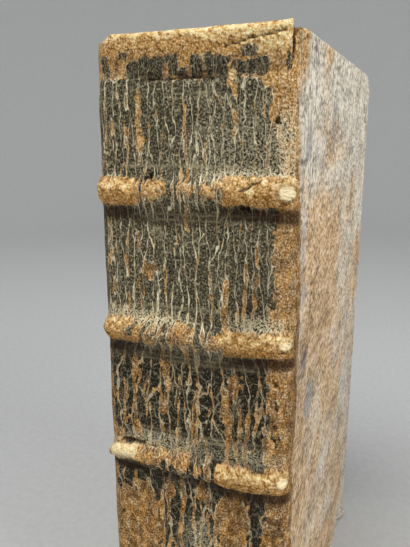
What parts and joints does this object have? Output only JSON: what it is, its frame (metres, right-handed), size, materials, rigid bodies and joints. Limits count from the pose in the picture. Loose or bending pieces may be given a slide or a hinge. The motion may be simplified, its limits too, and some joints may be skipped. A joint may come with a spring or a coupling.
{
  "type": "antique leather book",
  "caption": "Thick old book in worn full leather with raised bands on the spine, standing on its tail edges, with two covers that open.",
  "frame": {"origin": "bottom centre of the book's bounding box, on the surface that it stands on", "axes": "+Z from tail to head, +Y from spine to fore-edge, +X through the thickness towards the front cover"},
  "size_m": [0.062, 0.1634, 0.2411],
  "materials": {
    "spine_leather": "crackled, worn through to tan on the bands and caps",
    "board_leather": "dry and scuffed, grey over tan",
    "page_edges": "matt, browned leaf edges",
    "hemp_cord": "matt, twisted fibres",
    "endband_core": "matt, wound thread",
    "pasteboard": "matt, layered",
    "pastedown_paper": "matt, foxed"
  },
  "bodies": {
    "book_block": {"text_block": "page_edges", "sewing_cord_1": "hemp_cord", "sewing_cord_2": "hemp_cord", "sewing_cord_3": "hemp_cord", "sewing_cord_4": "hemp_cord", "head_band": "endband_core", "tail_band": "endband_core", "spine_leather": "spine_leather"},
    "front_cover": {"front_board": "pasteboard", "front_slip_1": "hemp_cord", "front_slip_2": "hemp_cord", "front_slip_3": "hemp_cord", "front_slip_4": "hemp_cord", "front_leather": "board_leather", "front_pastedown": "pastedown_paper"},
    "back_cover": {"back_board": "pasteboard", "back_slip_1": "hemp_cord", "back_slip_2": "hemp_cord", "back_slip_3": "hemp_cord", "back_slip_4": "hemp_cord", "back_leather": "board_leather", "back_pastedown": "pastedown_paper"}
  },
  "joints": [
    {"name": "front_cover_hinge", "type": "hinge", "parent": "book_block", "child": "front_cover", "pos_m": [0.031, -0.07637, 0], "axis": [0, 0, -1], "range_deg": [0, 110]},
    {"name": "back_cover_hinge", "type": "hinge", "parent": "book_block", "child": "back_cover", "pos_m": [-0.031, -0.07637, 0], "axis": [0, 0, 1], "range_deg": [0, 110]}
  ]
}
